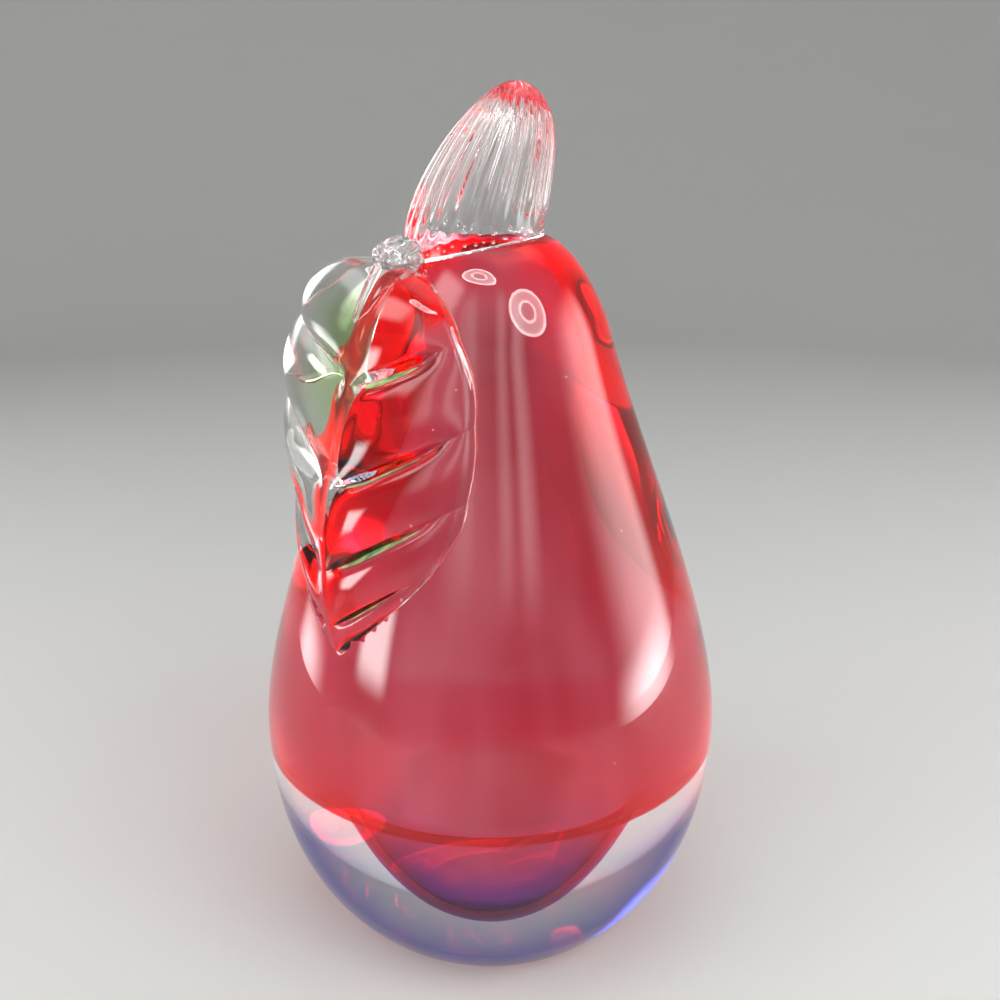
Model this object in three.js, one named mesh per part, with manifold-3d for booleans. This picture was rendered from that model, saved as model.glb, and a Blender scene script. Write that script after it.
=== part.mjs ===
// Glass pear paperweight, hot worked in layers: a clear heart, a thin ruby layer, a clear inner casing,
// a blue cup round the bottom and a clear outer casing, with a ribbed stem, a pressed leaf and a bead
// that seals the leaf to the stem. Millimetres, +Z up. The origin is the centre of the flat ground foot,
// the front faces -Y, and the leaf lies on the left of the front.

import * as THREE from 'three';
import { ParametricGeometry } from 'three/addons/geometries/ParametricGeometry.js';
import { mergeVertices } from 'three/addons/utils/BufferGeometryUtils.js';
import Module from 'manifold-3d';

const wasm = await Module();
wasm.setup();

// Outer shape of the pear
const footRadius = 21.6;
const footLean = 37; // degrees above level at which the side leaves the foot
const bellyRadius = 38.1;
const bellyHeight = 37.5;
const shoulderRadius = 19.1;
const shoulderHeight = 102.8;
const shoulderLean = 15.64; // degrees from upright at which the side leans in at the shoulder
const crownHeight = 117.8; // flat scar at the top, under the stem
const crownLip = 1.3; // width of the outer casing's flat ring on the scar

// Layers of the pear
const bondGap = 0.3; // joint between two layers, and under each applied bit
const outerWall = 3;
const footThickness = 4;
const blueWall = 1.8;
const blueRimWall = 0.5;
const blueRimHeight = 29;
const neckWall = 1.5; // inner casing where it passes through the scar
const rubyWall = 1.2;
const rubyFloor = 10.3;
const rubyBulbRadius = 16.2;
const rubyBulbHeight = 25;
const rubyBulbLean = 25; // degrees from upright at which the ruby flares out above its bulb
const rubyBellyDepth = 6; // how far the ruby lies inside the pear's belly
const rubyBellyDrop = 3; // how far the ruby's widest ring lies below the pear's belly
const rubyShoulderDepth = 5.4;
const rubyNeckRadius = 3.6;

// Stem
const stemRadius = 10.7;
const stemRootFlare = 0.6; // how much wider the root spreads on the pear
const stemRootShift = -2.8; // sideways place of the root, and of the tip
const stemTipShift = 4;
const stemHeight = 22.2; // from the scar to the tip
const stemRibs = 26;
const stemRibDepth = 0.5;

// Leaf
const leafAzimuth = 53; // degrees from the front towards the left
const leafLength = 58;
const leafFrontReach = 20; // from the midrib to the edge, on each side
const leafFrontWidestAt = 33; // along the midrib, from the top
const leafBackReach = 19;
const leafBackWidestAt = 27;
const leafTipLean = 50; // degrees between the midrib and the edges at the tip
const leafTipSweep = 8; // how far the tip bends towards the front
const leafMidThickness = 5.4;
const leafFrontEdgeThickness = 2.4;
const leafBackEdgeThickness = 4.2;
const leafLift = 9; // how far the back edge stands off the pear
const leafLobes = 5; // on each side of the midrib
const leafLobeHeight = 1.5;
const leafGrooveLean = 34.2; // degrees that a groove climbs as it leaves the midrib

// Bead that seals the leaf to the stem
const beadAzimuth = 62;
const beadHalfWidth = 4.2;
const beadHalfHeight = 3.3;
const beadRise = 3.4; // of its centre above the pear
const beadStandOff = 1.2; // of its centre from the stem's root

// Fullness of the curves: how far each runs straight on at its ends, as a share of its span
const footPull = 0.33;
const underBellyPull = 0.48;
const flankPull = 0.275;
const domePull = 0.43;
const crownPull = 0.42;
const neckStartPull = 0.4;
const neckEndPull = 0.5;
const bulbBottomPull = 0.46;
const bulbSidePull = 0.6;
const flareStartPull = 0.32;
const flareEndPull = 0.58;
const leafTopPull = 0.3;
const leafRisePull = 0.67;
const leafFallPull = 0.43;
const leafTipPull = 0.6;

// Softness of the worked glass, as powers and shares
const stemBluntPower = 1.08;
const stemFlarePower = 4;
const stemRibsGrow = [0.04, 0.28]; // up the stem
const stemRibsFade = [0.62, 1];
const leafDomePower = 0.6; // a lower power gives a fuller section
const leafLobePower = 0.6;
const leafLobeLevel = 0.6; // mean of the wave that makes the lobes
const leafBackScallopShare = 0.13; // how far a lobe swells the edge
const leafFrontScallopShare = 0.015;
const leafLobeBias = 0.85; // how much longer the lobes are at the top than at the tip
const leafBackRimShare = 2; // height of the lobes on the back half
const leafFrontRimFades = [0.72, 0.95]; // share of the width in which they run out on the front half
const leafEndPower = 6;
const leafTipThinShare = 0.45; // of the thickness, lost towards the tip
const leafTipThins = [0.55, 1]; // along the leaf
const growSteepness = 8; // how fast a clearance is reached away from an edge
const leafCreaseShare = 0.25; // share of the width in which the grooves run out towards the midrib
const leafLiftAcross = 0.1; // share of the back half at which the lift begins
const leafLiftGrows = [-0.15, 0.2]; // along the leaf
const leafLiftFades = [0.3, 0.8];

// Fineness of the facets
const roundSides = 32;
const spanSteps = 6;
const stemRings = 10;
const underRings = 6; // on the stem's underside
const leafAround = 28;
const leafLobeRings = 8;
const leafEdgeSteps = 24;
const rowHalvings = 30;
const beadSides = 16;

const { clamp, degToRad, lerp, smoothstep } = THREE.MathUtils;

// Sizes that follow from the ones above
const neckBore = rubyNeckRadius + bondGap + neckWall + bondGap;
const crownRadius = neckBore + crownLip;
const upright = 90; // degrees above level
const shoulderHeading = heading(upright + shoulderLean);
const upward = new THREE.Vector2(0, 1);
const outward = new THREE.Vector2(1, 0);
const inward = new THREE.Vector2(-1, 0);
const leafGrooveClimb = Math.tan(degToRad(leafGrooveLean));

function heading(degreesAboveLevel) {
  const angle = degToRad(degreesAboveLevel);
  return new THREE.Vector2(Math.cos(angle), Math.sin(angle));
}

// Adds a smooth span to an outline. It leaves the last point along one heading and arrives along another.
function addSpan(path, leave, leavePull, end, arrive, arrivePull) {
  const first = path.currentPoint.clone().addScaledVector(leave, leavePull);
  const second = end.clone().addScaledVector(arrive, -arrivePull);
  path.bezierCurveTo(first.x, first.y, second.x, second.y, end.x, end.y);
}

// Moves an outline, given as radius and height from the bottom up, towards its inside
function inset(outline, depthAt) {
  const last = outline.length - 1;
  return outline.map((point, index) => {
    const before = outline[Math.max(index - 1, 0)];
    const after = outline[Math.min(index + 1, last)];
    const along = new THREE.Vector2().subVectors(after, before).normalize();
    const moved = point.clone().addScaledVector(new THREE.Vector2(-along.y, along.x), depthAt(point.y));
    if (point.x === 0) moved.x = 0;
    if (index === last) moved.y = point.y;
    return moved;
  });
}

// Parts a rising outline at a height
function partAt(outline, height) {
  const next = Math.max(1, outline.findIndex((point) => point.y > height));
  const low = outline[next - 1];
  const high = outline[next];
  const cut = low.clone().lerp(high, (height - low.y) / (high.y - low.y));
  return { lower: [...outline.slice(0, next), cut], upper: [cut, ...outline.slice(next)] };
}

function pearSide() {
  const belly = new THREE.Vector2(bellyRadius, bellyHeight);
  const shoulder = new THREE.Vector2(shoulderRadius, shoulderHeight);
  const crown = new THREE.Vector2(crownRadius, crownHeight);
  const flank = shoulderHeight - bellyHeight;
  const dome = crownHeight - shoulderHeight;
  const crownRun = shoulderRadius - crownRadius;
  const path = new THREE.Path();
  path.moveTo(footRadius, 0);
  addSpan(path, heading(footLean), bellyHeight * footPull, belly, upward, bellyHeight * underBellyPull);
  addSpan(path, upward, flank * flankPull, shoulder, shoulderHeading, flank * flankPull);
  addSpan(path, shoulderHeading, dome * domePull, crown, inward, crownRun * crownPull);
  return path.getPoints(spanSteps);
}

// Ends an outline in a neck that turns upright at the scar
function addNeck(path, radius) {
  const rise = crownHeight - path.currentPoint.y;
  const rim = new THREE.Vector2(radius, crownHeight);
  addSpan(path, shoulderHeading, rise * neckStartPull, rim, upward, rise * neckEndPull);
}

// Inside of the outer casing, from the middle of its floor to the rim of its neck
function casingBore() {
  const floor = new THREE.Vector2(0, footThickness);
  const wall = inset(pear, () => outerWall).filter((point) => point.y <= shoulderHeight);
  const shoulder = wall[wall.length - 1];
  const neck = new THREE.Path();
  neck.moveTo(shoulder.x, shoulder.y);
  addNeck(neck, neckBore);
  return [floor, ...partAt(wall, footThickness).upper, ...neck.getPoints(spanSteps).slice(1)];
}

// Outside of the ruby layer: a bulb at the bottom, a flare to its belly, a shoulder and a neck
function rubySide() {
  const bulb = new THREE.Vector2(rubyBulbRadius, rubyBulbHeight);
  const belly = new THREE.Vector2(bellyRadius - rubyBellyDepth, bellyHeight - rubyBellyDrop);
  const shoulder = new THREE.Vector2(shoulderRadius - rubyShoulderDepth, shoulderHeight);
  const bulbRise = rubyBulbHeight - rubyFloor;
  const flareRise = belly.y - bulb.y;
  const flank = shoulder.y - belly.y;
  const bulbHeading = heading(upright - rubyBulbLean);
  const path = new THREE.Path();
  path.moveTo(0, rubyFloor);
  addSpan(path, outward, rubyBulbRadius * bulbBottomPull, bulb, bulbHeading, bulbRise * bulbSidePull);
  addSpan(path, bulbHeading, flareRise * flareStartPull, belly, upward, flareRise * flareEndPull);
  addSpan(path, upward, flank * flankPull, shoulder, shoulderHeading, flank * flankPull);
  addNeck(path, rubyNeckRadius);
  return path.getPoints(spanSteps);
}

const pear = pearSide();
const bore = casingBore();
const ruby = rubySide();

// The blue cup thins out from the floor to its rim
function blueThickness(height) {
  return lerp(blueWall, blueRimWall, smoothstep(height, footThickness, blueRimHeight));
}

// A turned solid between an outside and an inside, both given from the axis up to the open rim
function turned(outside, inside) {
  const profile = [...outside, ...[...inside].reverse()];
  const geometry = new THREE.LatheGeometry(profile, roundSides);
  geometry.rotateX(Math.PI / 2);
  return geometry;
}

function outerCasing() {
  const middle = new THREE.Vector2(0, 0);
  return turned([middle, ...pear], bore);
}

function blueCup() {
  const outside = inset(bore, () => bondGap);
  const inside = inset(bore, (height) => bondGap + blueThickness(height));
  return turned(partAt(outside, blueRimHeight).lower, partAt(inside, blueRimHeight).lower);
}

function innerCasing() {
  const ledge = blueRimHeight + bondGap;
  const overCup = inset(bore, (height) => bondGap + blueThickness(height) + bondGap);
  const overWall = inset(bore, () => bondGap);
  const outside = [...partAt(overCup, ledge).lower, ...partAt(overWall, ledge).upper];
  return turned(outside, inset(ruby, () => -bondGap));
}

function rubyLayer() {
  return turned(ruby, inset(ruby, () => rubyWall));
}

function clearHeart() {
  const top = new THREE.Vector2(0, crownHeight);
  return turned(inset(ruby, () => rubyWall + bondGap), [top]);
}

// Height of the pear's top, above its shoulder, at a distance from the axis
function pearTop(radius) {
  if (radius <= crownRadius) return crownHeight;
  const outer = pear.findLastIndex((point) => point.x >= radius);
  const low = pear[outer];
  const high = pear[outer + 1];
  return lerp(low.y, high.y, (low.x - radius) / (low.x - high.x));
}

// The stem is a leaning ribbed horn whose underside follows the pear's top. It can be grown by a clearance.
function stem(grow) {
  const rings = underRings + stemRings;
  const seatTop = crownHeight + bondGap;
  const tip = crownHeight + stemHeight;
  const rootRadius = stemRadius + stemRootFlare;
  const surface = (u, v, target) => {
    const turn = 2 * Math.PI * u;
    const ring = v * rings;
    const spread = Math.min(ring / underRings, 1);
    const climb = Math.max(0, (ring - underRings) / stemRings) * Math.PI / 2;
    const share = Math.sin(climb) ** stemBluntPower;
    const flare = (1 - share) ** stemFlarePower;
    const ribs = smoothstep(share, ...stemRibsGrow) * (1 - smoothstep(share, ...stemRibsFade));
    const ribbed = stemRadius + 0.5 * stemRibDepth * ribs * Math.cos(stemRibs * turn);
    const radius = spread * ((ribbed + grow) * Math.cos(climb) + stemRootFlare * flare);
    const lean = 0.5 * (share + smoothstep(share, 0, 1));
    const x = lerp(stemRootShift, stemTipShift, lean) + radius * Math.cos(turn);
    const y = radius * Math.sin(turn);
    const seat = pearTop(Math.hypot(x, y)) + bondGap;
    const rootX = stemRootShift + rootRadius * Math.cos(turn);
    const rootSeat = pearTop(Math.hypot(rootX, rootRadius * Math.sin(turn))) + bondGap;
    const level = lerp(seatTop, tip + grow, share) - (seatTop - rootSeat) * flare;
    target.set(x, y, ring <= underRings ? seat - grow : level);
  };
  return new ParametricGeometry(surface, stemRibs * 2, rings);
}

// The pear's side from the crown down, with the length walked along it
const slope = [...pear].reverse();
const walked = [0];
for (let index = 1; index < slope.length; index += 1) {
  walked.push(walked[index - 1] + slope[index].distanceTo(slope[index - 1]));
}

function walkTo(radius) {
  const index = slope.findIndex((point) => point.x >= radius);
  const share = (radius - slope[index - 1].x) / (slope[index].x - slope[index - 1].x);
  return lerp(walked[index - 1], walked[index], share);
}

// The stretch of the pear's side that a walk ends in, and the share of it that is walked
function stretchAt(walk) {
  const index = Math.max(1, walked.findIndex((length) => length >= walk));
  const share = (walk - walked[index - 1]) / (walked[index] - walked[index - 1]);
  return { index, share };
}

function radiusAt(walk) {
  const { index, share } = stretchAt(walk);
  return lerp(slope[index - 1].x, slope[index].x, share);
}

// Place on the pear: a walk down from the crown, a direction round the axis and a height off the surface
function onPear(walk, azimuth, off, target) {
  const { index, share } = stretchAt(walk);
  const start = slope[index - 1];
  const end = slope[index];
  const before = slope[Math.max(index - 2, 0)];
  const after = slope[Math.min(index + 1, slope.length - 1)];
  const startAlong = new THREE.Vector2().subVectors(end, before).normalize();
  const endAlong = new THREE.Vector2().subVectors(after, start).normalize();
  const along = startAlong.lerp(endAlong, share).normalize();
  const radius = lerp(start.x, end.x, share) - along.y * off;
  const height = lerp(start.y, end.y, share) + along.x * off;
  target.set(-radius * Math.sin(azimuth), -radius * Math.cos(azimuth), height);
}

// How far the stem's root reaches in a direction round the axis
function stemReach(azimuth) {
  return stemRadius + stemRootFlare + stemRibDepth / 2 - stemRootShift * Math.sin(azimuth);
}

// Half of the leaf's outline, from its top to its tip
function leafEdge(reach, widestAt) {
  const widest = new THREE.Vector2(widestAt, reach);
  const tip = new THREE.Vector2(leafLength, 0);
  const tail = leafLength - widestAt;
  const path = new THREE.Path();
  path.moveTo(0, 0);
  addSpan(path, upward, reach * leafTopPull, widest, outward, widestAt * leafRisePull);
  addSpan(path, outward, tail * leafFallPull, tip, heading(-leafTipLean), reach * leafTipPull);
  return path.getPoints(leafEdgeSteps);
}

const leafFront = leafEdge(leafFrontReach, leafFrontWidestAt);
const leafBack = leafEdge(leafBackReach, leafBackWidestAt);

function edgeReach(edge, length) {
  if (length <= 0 || length >= leafLength) return 0;
  const index = edge.findIndex((point) => point.x >= length);
  const start = edge[index - 1];
  const end = edge[index];
  return lerp(start.y, end.y, (length - start.x) / (end.x - start.x));
}

// Length of a row that climbs from the midrib to the edge, found by halving
function rowReach(edge, length) {
  let inside = 0;
  let outside = leafLength;
  for (let step = 0; step < rowHalvings; step += 1) {
    const middle = (inside + outside) / 2;
    if (edgeReach(edge, length - leafGrooveClimb * middle) > middle) inside = middle;
    else outside = middle;
  }
  return inside;
}

// The leaf is pressed hot on the pear. Its rows climb away from the midrib, with a groove between lobes,
// its underside follows the pear, and its back edge lifts off near the top. It can be grown by a clearance.
function leaf(grow) {
  const middle = degToRad(leafAzimuth);
  const start = walkTo(stemReach(middle) + bondGap);
  const surface = (u, v, target) => {
    const turn = 2 * Math.PI * (1 - u);
    const across = Math.cos(turn);
    const back = across > 0;
    const share = (1 + leafLobeBias) * v - leafLobeBias * v * v;
    const length = share * leafLength;
    const lobe = Math.abs(Math.sin(Math.PI * leafLobes * v)) ** leafLobePower - leafLobeLevel;
    const scallop = lobe * (back ? leafBackScallopShare : leafFrontScallopShare);
    const reach = rowReach(back ? leafBack : leafFront, length) * (1 + scallop);
    const side = across * (reach + grow * Math.sin(Math.PI * v));
    const walk = start + length - leafGrooveClimb * Math.abs(side) + grow * (2 * v - 1);
    const along = clamp((walk - start) / leafLength, 0, 1);
    const azimuth = middle + (side - leafTipSweep * along ** 3) / radiusAt(walk);
    const endRound = Math.sqrt(1 - (2 * share - 1) ** leafEndPower);
    const rim = back ? leafBackRimShare : 1 - smoothstep(-across, ...leafFrontRimFades);
    const relief = leafLobeHeight * lobe * smoothstep(Math.abs(across), 0, leafCreaseShare) * rim;
    const edge = back ? leafBackEdgeThickness : leafFrontEdgeThickness;
    const thickness = lerp(leafMidThickness, edge, Math.abs(across)) + relief;
    const thin = 1 - leafTipThinShare * smoothstep(share, ...leafTipThins);
    const body = thickness * thin * Math.max(0, Math.sin(turn)) ** leafDomePower;
    const hump = smoothstep(along, ...leafLiftGrows) * (1 - smoothstep(along, ...leafLiftFades));
    const lift = leafLift * hump * smoothstep(across, leafLiftAcross, 1);
    const swell = grow * clamp(growSteepness * Math.sin(turn), -1, 1);
    onPear(walk, azimuth, bondGap + (lift + body + swell) * endRound, target);
  };
  return new ParametricGeometry(surface, leafAround, leafLobes * leafLobeRings);
}

function solid(geometry) {
  const bare = new THREE.BufferGeometry();
  bare.setAttribute('position', geometry.attributes.position);
  bare.setIndex(geometry.index);
  const merged = mergeVertices(bare, 1e-3);
  const vertProperties = new Float32Array(merged.attributes.position.array);
  const triVerts = new Uint32Array(merged.index.array);
  return new wasm.Manifold(new wasm.Mesh({ numProp: 3, vertProperties, triVerts }));
}

// The bead fills the corner between the stem, the leaf and the pear, and is cut clear of all three
function leafBead() {
  const azimuth = degToRad(beadAzimuth);
  const radius = stemReach(azimuth) + beadStandOff;
  const blob = new THREE.SphereGeometry(1, beadSides, beadSides / 2);
  blob.scale(beadHalfWidth, beadHalfWidth, beadHalfHeight);
  blob.translate(-radius * Math.sin(azimuth), -radius * Math.cos(azimuth), pearTop(radius) + beadRise);
  const bottom = new THREE.Vector2(0, 0);
  const top = new THREE.Vector2(0, crownHeight);
  const grownPear = turned([bottom, ...inset(pear, () => -bondGap)], [top]);
  const neighbours = [grownPear, stem(bondGap), leaf(bondGap)];
  const cut = neighbours.reduce((rest, piece) => rest.subtract(solid(piece)), solid(blob)).getMesh();
  const geometry = new THREE.BufferGeometry();
  geometry.setAttribute('position', new THREE.BufferAttribute(cut.vertProperties, 3));
  geometry.setIndex(new THREE.BufferAttribute(cut.triVerts, 1));
  geometry.computeVertexNormals();
  return geometry;
}

const clearGlass = { color: 0xe9eeec, roughness: 0.03, metalness: 0, transparent: true, opacity: 0.35 };
const finishes = {
  clear_heart: clearGlass,
  ruby_layer: { ...clearGlass, color: 0xb3162f, opacity: 0.7 },
  inner_casing: clearGlass,
  blue_cup: { ...clearGlass, color: 0x4a58c4, opacity: 0.5 },
  outer_casing: clearGlass,
  stem: clearGlass,
  leaf: { ...clearGlass, color: 0xdfeadf },
  leaf_bead: clearGlass,
};

const shapes = {
  clear_heart: clearHeart(),
  ruby_layer: rubyLayer(),
  inner_casing: innerCasing(),
  blue_cup: blueCup(),
  outer_casing: outerCasing(),
  stem: stem(0),
  leaf: leaf(0),
  leaf_bead: leafBead(),
};

const paperweight = new THREE.Group();
for (const [name, geometry] of Object.entries(shapes)) {
  const mesh = new THREE.Mesh(geometry, new THREE.MeshStandardMaterial(finishes[name]));
  mesh.name = name;
  paperweight.add(mesh);
}

export default paperweight;
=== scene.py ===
import math
import random

import bmesh
import bpy
import numpy as np
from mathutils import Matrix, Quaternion, Vector, noise
from mathutils.bvhtree import BVHTree
from mathutils.geometry import interpolate_bezier


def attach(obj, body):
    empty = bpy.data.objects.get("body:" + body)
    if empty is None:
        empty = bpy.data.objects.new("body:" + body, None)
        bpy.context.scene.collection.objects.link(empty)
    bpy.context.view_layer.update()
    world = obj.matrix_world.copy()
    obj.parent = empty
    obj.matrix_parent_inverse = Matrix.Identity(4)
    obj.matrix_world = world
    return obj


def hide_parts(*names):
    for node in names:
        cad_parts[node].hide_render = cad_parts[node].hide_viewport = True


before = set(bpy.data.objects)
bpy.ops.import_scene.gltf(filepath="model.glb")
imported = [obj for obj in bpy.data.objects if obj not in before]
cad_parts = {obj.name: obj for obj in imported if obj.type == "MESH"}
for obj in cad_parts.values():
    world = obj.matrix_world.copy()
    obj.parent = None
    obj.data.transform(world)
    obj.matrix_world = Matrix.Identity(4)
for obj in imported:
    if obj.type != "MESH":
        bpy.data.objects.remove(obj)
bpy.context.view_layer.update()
mm = 0.001
print("frame loaded,", len(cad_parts), "nodes")

# camera, at the photo's height and tilt
view = {"lens": 43.2, "sensor": 36, "side": 1.65, "back": 189, "height": 133.6, "tiltDown": 17.35}

camera = bpy.data.objects.new("photoCamera", bpy.data.cameras.new("photoCamera"))
camera.data.lens = view["lens"]
camera.data.sensor_width = view["sensor"]
camera.data.clip_start = 0.01
camera.location = (view["side"] * mm, -view["back"] * mm, view["height"] * mm)
camera.rotation_euler = (math.radians(90 - view["tiltDown"]), 0, 0)
bpy.context.scene.collection.objects.link(camera)
bpy.context.scene.camera = camera
print("camera placed")


# helpers for meshes
def addPiece(name, bm, materials):
    mesh = bpy.data.meshes.new(name)
    bm.normal_update()
    bm.to_mesh(mesh)
    bm.free()
    for material in materials:
        mesh.materials.append(material)
    piece = bpy.data.objects.new(name, mesh)
    bpy.context.scene.collection.objects.link(piece)
    return piece


def ringOfVerts(bm, radius, height, sides):
    if radius < 1e-6:
        return [bm.verts.new((0, 0, height * mm))] * sides
    angles = [2 * math.pi * side / sides for side in range(sides)]
    return [bm.verts.new((radius * math.cos(a) * mm, radius * math.sin(a) * mm, height * mm)) for a in angles]


def bridge(bm, rings, slotOf):
    for strip, (low, high) in enumerate(zip(rings, rings[1:])):
        for side in range(len(low)):
            after = (side + 1) % len(low)
            corners = [low[side], low[after], high[after], high[side]]
            corners = [c for i, c in enumerate(corners) if c not in corners[:i]]
            if len(corners) < 3:
                continue
            face = bm.faces.new(corners)
            face.smooth = True
            face.material_index = slotOf(strip)


# turns an outline of (radius, height) points round the axis
def turned(outline, sides, slotOf):
    bm = bmesh.new()
    rings = [ringOfVerts(bm, point.x, point.y, sides) for point in outline]
    bridge(bm, rings, slotOf)
    return bm


# closed skin over a grid of points, rows by columns, closing round the columns and at both ends
def skinned(points, slotOf, shade=None):
    bm = bmesh.new()
    tone = bm.verts.layers.float.new("tone")
    rings = []
    for row, ring in enumerate(points):
        rings.append([bm.verts.new(p * mm) for p in ring])
        if shade is not None:
            for vert, value in zip(rings[-1], shade[row]):
                vert[tone] = value
    for row, (low, high) in enumerate(zip(rings, rings[1:])):
        for side in range(len(low)):
            after = (side + 1) % len(low)
            face = bm.faces.new([low[side], low[after], high[after], high[side]])
            face.smooth = True
            face.material_index = slotOf(row, side)
    bmesh.ops.remove_doubles(bm, verts=bm.verts, dist=2e-6)
    bmesh.ops.recalc_face_normals(bm, faces=bm.faces)
    return bm


# helpers for materials
def newNodes(name):
    material = bpy.data.materials.new(name)
    material.use_nodes = True
    material.node_tree.nodes.clear()
    return material, material.node_tree


def add(tree, kind, **values):
    node = tree.nodes.new(kind)
    for key, value in values.items():
        node.inputs[key.replace("_", " ")].default_value = value
    return node


# mix of two colours, each a fixed colour or another node's output
def mixColours(tree, factor, first, second):
    mix = tree.nodes.new("ShaderNodeMix")
    mix.data_type = "RGBA"
    for socket, colour in ((mix.inputs["A"], first), (mix.inputs["B"], second)):
        if isinstance(colour, tuple):
            socket.default_value = (*colour, 1)
        else:
            tree.links.new(colour, socket)
    tree.links.new(factor, mix.inputs["Factor"])
    return mix.outputs["Result"]


def linkMath(tree, operation, first, second):
    node = tree.nodes.new("ShaderNodeMath")
    node.operation = operation
    tree.links.new(first, node.inputs[0])
    tree.links.new(second, node.inputs[1])
    return node.outputs["Value"]


# hand-worked glass: slow waves for the bump, smudges for the gloss, cords for the tint
def makeWorkedGroup():
    group = bpy.data.node_groups.new("workedGlass", "ShaderNodeTree")
    for name, start in (("Wave Scale", 60.0), ("Smudge Scale", 90.0), ("Cord Scale", 220.0)):
        group.interface.new_socket(name, in_out="INPUT", socket_type="NodeSocketFloat").default_value = start
    for name in ("Height", "Smudge", "Cords"):
        group.interface.new_socket(name, in_out="OUTPUT", socket_type="NodeSocketFloat")
    source = group.nodes.new("NodeGroupInput")
    result = group.nodes.new("NodeGroupOutput")
    place = group.nodes.new("ShaderNodeTexCoord")
    waves = add(group, "ShaderNodeTexNoise", Detail=1.0, Roughness=0.3)
    smudge = add(group, "ShaderNodeTexNoise", Detail=4.0, Roughness=0.6)
    spread = add(group, "ShaderNodeMapRange", From_Min=0.52, From_Max=0.8)
    stretch = add(group, "ShaderNodeVectorMath")
    stretch.operation = "MULTIPLY"
    stretch.inputs[1].default_value = (1, 1, 0.12)
    cords = add(group, "ShaderNodeTexNoise", Detail=2.0, Roughness=0.5)
    link = group.links.new
    link(place.outputs["Object"], waves.inputs["Vector"])
    link(source.outputs["Wave Scale"], waves.inputs["Scale"])
    link(place.outputs["Object"], smudge.inputs["Vector"])
    link(source.outputs["Smudge Scale"], smudge.inputs["Scale"])
    link(smudge.outputs["Fac"], spread.inputs["Value"])
    link(place.outputs["Object"], stretch.inputs[0])
    link(stretch.outputs["Vector"], cords.inputs["Vector"])
    link(source.outputs["Cord Scale"], cords.inputs["Scale"])
    link(waves.outputs["Fac"], result.inputs["Height"])
    link(spread.outputs["Result"], result.inputs["Smudge"])
    link(cords.outputs["Fac"], result.inputs["Cords"])
    return group


workedGroup = makeWorkedGroup()


def addWorked(tree, **scales):
    worked = tree.nodes.new("ShaderNodeGroup")
    worked.node_tree = workedGroup
    for key, value in scales.items():
        worked.inputs[key.replace("_", " ")].default_value = value
    return worked


# glass that lets lamps through in its own tint, so that its shadow is coloured too
def finishGlass(tree, shader, shadowTint):
    result = tree.nodes.new("ShaderNodeOutputMaterial")
    path = tree.nodes.new("ShaderNodeLightPath")
    clear = add(tree, "ShaderNodeBsdfTransparent", Color=(*shadowTint, 1))
    mix = tree.nodes.new("ShaderNodeMixShader")
    tree.links.new(path.outputs["Is Shadow Ray"], mix.inputs["Fac"])
    tree.links.new(shader.outputs["BSDF"], mix.inputs[1])
    tree.links.new(clear.outputs["BSDF"], mix.inputs[2])
    tree.links.new(mix.outputs["Shader"], result.inputs["Surface"])
    return result


# 1 where a surface is seen aslant, 0 where it faces the eye
def edgeMask(tree, start, end):
    facing = add(tree, "ShaderNodeLayerWeight", Blend=0.5)
    edge = add(tree, "ShaderNodeMapRange", From_Min=start, From_Max=end)
    edge.interpolation_type = "SMOOTHSTEP"
    tree.links.new(facing.outputs["Facing"], edge.inputs["Value"])
    return edge.outputs["Result"]


# 0 at the first height and past it, 1 at the second
def heightMask(tree, bare, full):
    place = tree.nodes.new("ShaderNodeTexCoord")
    split = tree.nodes.new("ShaderNodeSeparateXYZ")
    mask = add(tree, "ShaderNodeMapRange", From_Min=bare * mm, From_Max=full * mm)
    mask.interpolation_type = "SMOOTHSTEP"
    tree.links.new(place.outputs["Object"], split.inputs["Vector"])
    tree.links.new(split.outputs["Z"], mask.inputs["Value"])
    return mask.outputs["Result"]


# open skin of the glass, which bends and mirrors light
def makeOpenGlass(name, look):
    material, tree = newNodes(name)
    worked = addWorked(tree, Wave_Scale=look["waveScale"], Smudge_Scale=look["smudgeScale"])
    shader = add(tree, "ShaderNodeBsdfPrincipled", Metallic=0.0, IOR=look["ior"],
                 Transmission_Weight=look["clearness"])
    tint = mixColours(tree, worked.outputs["Cords"], look["tintA"], look["tintB"])
    if "toneTint" in look:
        tone = tree.nodes.new("ShaderNodeAttribute")
        tone.attribute_name = "tone"
        tint = mixColours(tree, tone.outputs["Fac"], tint, look["toneTint"])
    if "rimTint" in look:
        edge, low = edgeMask(tree, *look["rimSlant"]), heightMask(tree, *look["rimHeight"])
        tint = mixColours(tree, linkMath(tree, "MULTIPLY", edge, low), tint, look["rimTint"])
    rough = add(tree, "ShaderNodeMapRange", To_Min=look["gloss"], To_Max=look["dull"])
    bump = add(tree, "ShaderNodeBump", Strength=look["bump"], Distance=0.001)
    tree.links.new(tint, shader.inputs["Base Color"])
    tree.links.new(worked.outputs["Smudge"], rough.inputs["Value"])
    tree.links.new(rough.outputs["Result"], shader.inputs["Roughness"])
    tree.links.new(worked.outputs["Height"], bump.inputs["Height"])
    tree.links.new(bump.outputs["Normal"], shader.inputs["Normal"])
    finishGlass(tree, shader, look["shadow"])
    return material


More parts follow.
